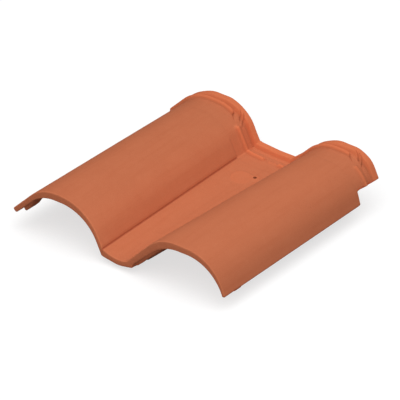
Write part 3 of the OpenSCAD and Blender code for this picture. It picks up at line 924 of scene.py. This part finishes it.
# %% [markdown]
# ## Nibs and foot ribs
#
# Two nibs hook over the batten, and two long foot ribs carry the tile when it lies down.
# On the real tile they are pressed with it, so their roots swell out into the body and their
# lower edges are round. Each is a stack of rounded rectangles: a soft lower edge, a wall
# with draft so that it leaves the mould, and a fillet that ends just inside the clay.

# %% Helpers for clay blocks
SKIN = BVHTree.FromObject(tile, bpy.context.evaluated_depsgraph_get())
UP = Vector((0, 0, 1))


def under_height(x, y):
    """Height of the underside above the ground at a place, in metres."""
    return SKIN.ray_cast(Vector((x, y, -1)), UP)[0].z


def rounded_rectangle(half_x, half_y, radius, steps=6):
    """Points round a rectangle with round corners, anticlockwise."""
    points = []
    for k, (sign_x, sign_y) in enumerate(((1, 1), (-1, 1), (-1, -1), (1, -1))):
        for a in np.radians(90 * k + np.linspace(0, 90, steps)):
            points.append((sign_x * (half_x - radius) + radius * math.cos(a),
                           sign_y * (half_y - radius) + radius * math.sin(a)))
    return points


def stacked(name, rings):
    """A closed clay solid from rings of points in metres, the lowest first."""
    count, last = len(rings[0]), len(rings) - 1
    faces = [tuple(range(count))[::-1], tuple(range(last * count, (last + 1) * count))]
    for r in range(last):
        for i in range(count):
            a, b = r * count + i, r * count + (i + 1) % count
            faces.append((a, b, b + count, a + count))
    mesh = bpy.data.meshes.new(name)
    mesh.from_pydata([point for ring in rings for point in ring], [], faces)
    mesh.materials.append(clay)
    return placed(name, mesh)


print("underside over the middle of the ground:", round(under_height(0, 0) / MM, 1), "mm")

# %% Nibs and foot ribs
ROOTED, LEAST_CORNER = 2.5, 0.4        # how far a block's top reaches into the clay, in mm


def clay_block(name, middle, half, slope, soft, fillet, corner, draft):
    """A pressed block under the tile. Sizes in mm, slope is sideways shift along the tile."""
    centre_x = MM * (middle[0] + LEFT_SPAN - WIDTH / 2)
    centre_y = MM * (middle[1] - LENGTH / 2)
    heights = [under_height(centre_x + MM * (across_x * half[0] + along_y * slope * half[1]),
                            centre_y + MM * along_y * half[1]) / MM
               for across_x in (-1, 0, 1) for along_y in (-1, -0.5, 0, 0.5, 1)]
    root, inside = min(heights), max(heights) + ROOTED
    grown = (root - fillet - soft) * draft
    outline = [(soft * (math.sin(a) - 1), soft * (1 - math.cos(a)))
               for a in np.radians([0, 25, 50, 75, 90])]
    outline += [(grown + fillet * (1 - math.cos(a)), root - fillet * (1 - math.sin(a)))
                for a in np.radians([0, 20, 40, 60, 80])]
    outline.append((grown + fillet, inside))
    rings = []
    for grow, z in outline:
        ring = rounded_rectangle(half[0] + grow, half[1] + grow, max(LEAST_CORNER, corner + grow))
        rings.append([(centre_x + MM * (x + slope * y), centre_y + MM * y, MM * z) for x, y in ring])
    print(name, "root at", round(root, 1), "mm, block up to", round(inside, 1), "mm")
    return stacked(name, rings)


NIB, NIB_FROM_HEAD = (26, 17), 38
NIB_IN, FOOT_IN = (8, 16), (4, 13)     # from the crease, and from the foot of the right barrel
FOOT_HALF_WIDTH = 5
FOOT_CLEAR = (4, 118)                  # from the cross channel, and from the head
NIB_FORM = {"slope": 0, "soft": 2.0, "fillet": 2.5, "corner": 3.5, "draft": 0.02}
FOOT_FORM = {"soft": 1.8, "fillet": 2.0, "corner": 4.5, "draft": 0.05}
nib_half = (NIB[0] / 2, NIB[1] / 2)
nib_y = LENGTH - NIB_FROM_HEAD - nib_half[1]
foot_from, foot_to = CHANNEL[1] + FOOT_CLEAR[0], LENGTH - FOOT_CLEAR[1]
foot_y, foot_half = (foot_from + foot_to) / 2, (FOOT_HALF_WIDTH, (foot_to - foot_from) / 2)
lean = TAPER[1] / LENGTH               # the right foot rib follows the right barrel's foot
nib_x = NIB_IN[0] + nib_half[0], PAN_SPAN + TAPER[1] - NIB_IN[1] - nib_half[0]
foot_x = FOOT_IN[0], PAN_SPAN - FOOT_IN[1] + lean * foot_y
blocks = [clay_block("nib_left", (nib_x[0], nib_y), nib_half, **NIB_FORM),
          clay_block("nib_right", (nib_x[1], nib_y), nib_half, **NIB_FORM),
          clay_block("foot_left", (foot_x[0], foot_y), foot_half, 0, **FOOT_FORM),
          clay_block("foot_right", (foot_x[1], foot_y), foot_half, lean, **FOOT_FORM)]

# %% [markdown]
# ## Nail hole
#
# The hole is pushed through the wet clay with a pin, so its rim rolls over on both faces.
# The pin here is a turned shape: straight in the middle and flared like a trumpet where it
# meets each face. It is a stack of rings too, and it carries painted shade for the hole's wall.

# %% Nail pin
hole = next(m for m in frame["record"]["mounts"] if m["name"] == "nail_hole")
HOLE_RADIUS, RIM, FLARE_DEPTH = hole["dims"]["r_mm"], 0.8, 0.54
STAND_OUT, HOLE_SHADE_DEPTH, TURNS = 3, 0.6, 40       # past each face and painted shade in mm, points round
hole_x, hole_y, _ = hole["pos_m"]
hole_low = under_height(hole_x, hole_y) / MM
hole_high = SKIN.ray_cast(Vector((hole_x, hole_y, 1)), -UP)[0].z / MM
collar = HOLE_RADIUS + 2 * RIM
flare = [(collar, -STAND_OUT)]
flare += [(HOLE_RADIUS + RIM * (1 - math.sin(a)), FLARE_DEPTH - RIM * math.cos(a))
          for a in np.radians([0, 30, 60, 90])]
profile = [(r, hole_low + z) for r, z in flare] + [(r, hole_high - z) for r, z in flare[::-1]]
angles = 2 * math.pi * np.arange(TURNS) / TURNS
pin = stacked("nail_pin", [[(hole_x + MM * r * math.cos(a), hole_y + MM * r * math.sin(a), MM * z)
                            for a in angles] for r, z in profile])
# painted shade for the hole's wall, where shade falls
hole_shade = pin.data.attributes.new("dust", "FLOAT", "POINT")
hole_shade.data.foreach_set("value", [HOLE_SHADE_DEPTH * MM] * len(pin.data.vertices))
print("hole from", round(hole_low, 1), "to", round(hole_high, 1), "mm up")

# %% [markdown]
# ## Joining it into one piece
#
# The nibs and foot ribs are united with the tile and the pin is cut out of it, one after
# another. The result is one closed mesh, like the fired piece. Edges sharper than 45 degrees
# stay crisp; the rest is shaded smooth.

# %% One piece
def joined(body, tool, operation):
    """Unites the body with a tool object or cuts it with one, and takes the tool away."""
    cut = body.modifiers.new(tool.name, "BOOLEAN")
    cut.operation, cut.solver, cut.object = operation, "MANIFOLD", tool
    made_plain(body)
    bpy.data.objects.remove(tool)


for block in blocks:
    joined(tile, block, "UNION")
joined(tile, pin, "DIFFERENCE")
tile.data.materials.clear()
tile.data.materials.append(clay)
tile.data.polygons.foreach_set("material_index", [0] * len(tile.data.polygons))
tile.data.polygons.foreach_set("use_smooth", [True] * len(tile.data.polygons))
tile.data.set_sharp_from_angle(angle=math.radians(45))
check = bmesh.new()
check.from_mesh(tile.data)
open_edges = sum(1 for e in check.edges if not e.is_manifold)
print("one piece:", len(check.faces), "faces, volume", round(check.calc_volume() * 1e6, 1),
      "cm3, open edges", open_edges, "triangles", len(check.calc_loop_triangles()))
check.free()

# %% [markdown]
# ## Putting the tile on the frame
#
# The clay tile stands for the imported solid, rides on its body, and takes its finish from the
# fired clay slot.

# %% Frame
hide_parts("roof_tile")
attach(tile, "root")
print("materials on the tile:", [m.name for m in tile.data.materials])

# %% [markdown]
# ## Floor
#
# The tile lies on a matt white board. To the camera the board has a little light of its own,
# so that it stays nearly white and the shadow on it stays soft. To the clay it is a plain mid
# grey, so that the lower edges aren't lit too strongly from below.

# %% Floor
FLOOR_HALF, FLOOR_GAP = 6.0, 0.0005    # metres
BOUNCE_GREY, SHOWN_GREY, SHOWN_LIGHT = 0.5, 0.35, 0.68
floor_mesh = bpy.data.meshes.new("studio_floor")
floor_mesh.from_pydata([(x * FLOOR_HALF, y * FLOOR_HALF, 0)
                        for x, y in ((-1, -1), (1, -1), (1, 1), (-1, 1))], [], [(0, 1, 2, 3)])
floor = placed("studio_floor", floor_mesh)
floor.location.z = tile_lo.z - FLOOR_GAP
matt = bpy.data.materials.new("matt_white_floor")
matt.use_nodes = True
board = matt.node_tree
board.nodes.clear()
bounce = add(board, "ShaderNodeBsdfDiffuse", {"Color": (*[BOUNCE_GREY] * 3, 1)})
shown = add(board, "ShaderNodeBsdfDiffuse", {"Color": (*[SHOWN_GREY] * 3, 1)})
lit = add(board, "ShaderNodeEmission", {"Strength": SHOWN_LIGHT})
pale = add(board, "ShaderNodeAddShader", {0: shown.outputs[0], 1: lit.outputs[0]})
seen = add(board, "ShaderNodeLightPath").outputs["Is Camera Ray"]
both_ways = add(board, "ShaderNodeMixShader", {0: seen, 1: bounce.outputs[0], 2: pale.outputs[0]})
add(board, "ShaderNodeOutputMaterial", {"Surface": both_ways.outputs[0]})
floor_mesh.materials.append(matt)
print("floor at", round(floor.location.z / MM, 2), "mm")

# %% [markdown]
# ## Light
#
# A white surround that is brightest overhead and one large soft lamp above give the even
# shading of a studio. The brightest point leans a little to the front and the right, so that
# the two flanks of a barrel differ. Below the floor's level the surround is pale too, so that
# the underside can be looked at with the floor taken away.

# %% Surround
OVERHEAD, LEVEL, FROM_BELOW = 0.78, 0.085, 0.5
BRIGHTEST = Vector((0.2, -0.32, 0.95)).normalized()
world = bpy.data.worlds.new("soft_surround")
world.use_nodes = True
sky = world.node_tree
sky.nodes.clear()
toward = add(sky, "ShaderNodeTexCoord").outputs["Generated"]
up = add(sky, VECTOR, {0: toward, 1: tuple(BRIGHTEST)}, operation="DOT_PRODUCT").outputs["Value"]
up = add(sky, MATH, {0: up, 1: 0.0}, operation="MAXIMUM").outputs[0]
glow = add(sky, MATH, {0: up, 1: OVERHEAD, 2: LEVEL}, operation="MULTIPLY_ADD").outputs[0]
height = add(sky, "ShaderNodeSeparateXYZ", {0: toward}).outputs["Z"]
below = add(sky, MATH, {0: height, 1: 0.0}, operation="LESS_THAN").outputs[0]
glow = add(sky, MATH, {0: below, 1: FROM_BELOW, 2: glow}, operation="MULTIPLY_ADD").outputs[0]
looked_at = add(sky, "ShaderNodeLightPath").outputs["Is Camera Ray"]
glow = add(sky, "ShaderNodeMix", {0: looked_at, 2: glow, 3: 1.0}).outputs[0]
surround = add(sky, "ShaderNodeBackground", {"Color": (1, 1, 1, 1), "Strength": glow})
add(sky, "ShaderNodeOutputWorld", {"Surface": surround.outputs[0]})
bpy.context.scene.world = world
print("surround from", LEVEL, "at the level to", round(OVERHEAD + LEVEL, 3), "overhead")

# %% Lamp
lamp_data = bpy.data.lights.new("soft_lamp", "AREA")
lamp_data.energy, lamp_data.size = 50, 3.0
lamp = placed("soft_lamp", lamp_data)
lamp.location = (0.45, -0.5, 2.4)
lamp.rotation_mode = "QUATERNION"
lamp.rotation_quaternion = (-Vector(lamp.location)).to_track_quat("-Z", "Y")
print("lamp", lamp_data.energy, "W,", lamp_data.size, "m wide")

# %% [markdown]
# ## Camera
#
# The camera looks from the front right at a tile's usual catalogue angle, without
# perspective, so that long edges stay parallel. It aims a little below the tile's middle.

# %% Camera
AZIMUTH, ELEVATION, DISTANCE = math.radians(37.7), math.radians(31.65), 3.0
VIEW_WIDTH = 0.6744
target = (cad_lo + cad_hi) / 2 + Vector((0.0031, 0.0044, -0.0172))
back = Vector((math.sin(AZIMUTH) * math.cos(ELEVATION), -math.cos(AZIMUTH) * math.cos(ELEVATION),
               math.sin(ELEVATION)))
camera_data = bpy.data.cameras.new("camera")
camera_data.type, camera_data.ortho_scale = "ORTHO", VIEW_WIDTH
camera_data.clip_start, camera_data.clip_end = 0.05, 30
camera = placed("camera", camera_data)
camera.location = target + back * DISTANCE
camera.rotation_mode = "QUATERNION"
camera.rotation_quaternion = (-back).to_track_quat("-Z", "Y")
bpy.context.scene.camera = camera
bpy.context.scene.view_settings.view_transform = "Standard"
print("camera aimed at", [round(v / MM, 1) for v in target], "mm")
